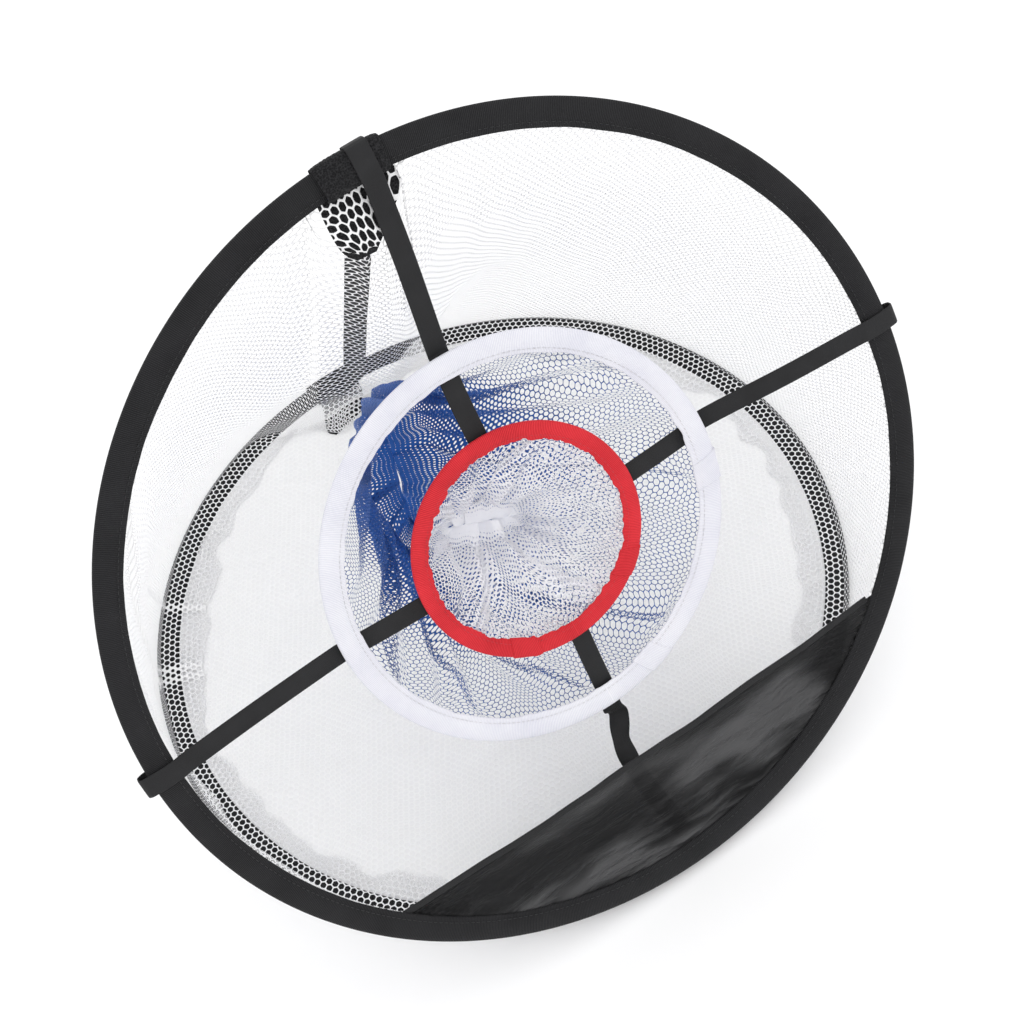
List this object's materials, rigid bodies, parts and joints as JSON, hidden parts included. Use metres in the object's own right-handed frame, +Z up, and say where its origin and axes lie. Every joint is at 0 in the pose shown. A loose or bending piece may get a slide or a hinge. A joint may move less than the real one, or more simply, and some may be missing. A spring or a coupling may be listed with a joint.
{
  "type": "golf chipping net",
  "caption": "Golf chipping net with a tilted front hoop hinged to a base hoop, ring targets on ribbon straps, mesh pockets, a cloth apron and a folding rear strut.",
  "frame": {"origin": "on the ground under the middle of the whole net, near the base hoop's centre", "axes": "+Z up; -Y towards the golfer, so the front hoop leans back towards +Y; +X to the golfer's right"},
  "size_m": [0.532, 0.5274, 0.4638],
  "materials": {
    "spring_steel": "drawn wire",
    "ferrule_metal": "satin",
    "black_webbing": "ribbed grosgrain tape",
    "white_webbing": "ribbed grosgrain tape",
    "red_webbing": "ribbed grosgrain tape",
    "apron_cloth": "sheer satin nylon",
    "hook_and_loop": "looped pile",
    "white_mesh": "open hexagonal mesh",
    "blue_mesh": "fine hexagonal mesh",
    "lilac_mesh": "fine hexagonal mesh",
    "glass_fibre_rod": "pultruded glass fibre",
    "cap_plastic": "moulded"
  },
  "bodies": {
    "base": {"base_hoop_wire": "spring_steel", "base_hoop_ferrule": "ferrule_metal", "base_hoop_sleeve": "black_webbing", "floor_net": "white_mesh", "net_wall": "white_mesh", "hinge_tape": "black_webbing", "strut_foot_patch": "hook_and_loop"},
    "front": {"front_hoop_wire": "spring_steel", "front_hoop_ferrule": "ferrule_metal", "front_hoop_sleeve": "black_webbing", "apron": "apron_cloth", "apron_hem": "apron_cloth", "top_patch": "hook_and_loop", "top_patch_flap": "hook_and_loop", "strap_top": "black_webbing", "strap_bottom": "black_webbing", "strap_left": "black_webbing", "strap_right": "black_webbing"},
    "target": {"middle_ring_wire": "spring_steel", "middle_ring_ferrule": "ferrule_metal", "middle_ring_sleeve": "white_webbing", "inner_ring_wire": "spring_steel", "inner_ring_ferrule": "ferrule_metal", "inner_ring_sleeve": "red_webbing", "outer_pocket": "blue_mesh", "inner_pocket": "lilac_mesh"},
    "strut": {"strut_rod": "glass_fibre_rod", "strut_sleeve": "black_webbing", "strut_top_cap": "cap_plastic", "strut_foot_cap": "cap_plastic"}
  },
  "joints": [
    {"name": "front_fold", "type": "hinge", "parent": "base", "child": "front", "pos_m": [0, -0.25793, 0.01442], "axis": [-1, 0, 0], "range_deg": [0, 52], "deforming": ["net_wall", "outer_pocket", "inner_pocket"]},
    {"name": "strut_fold", "type": "hinge", "parent": "base", "child": "strut", "pos_m": [0.014, 0.23628, 0.01264], "axis": [-1, 0, 0], "range_deg": [0, 118]},
    {"name": "target_swing", "type": "slide", "parent": "front", "child": "target", "axis": [0, -0.866, 0.5], "range_m": [0, 0.042], "deforming": ["strap_top", "strap_bottom", "strap_left", "strap_right"]}
  ],
  "couplings": [
    {"joint": "strut_fold", "follows": "front_fold", "ratio": 2.25}
  ]
}
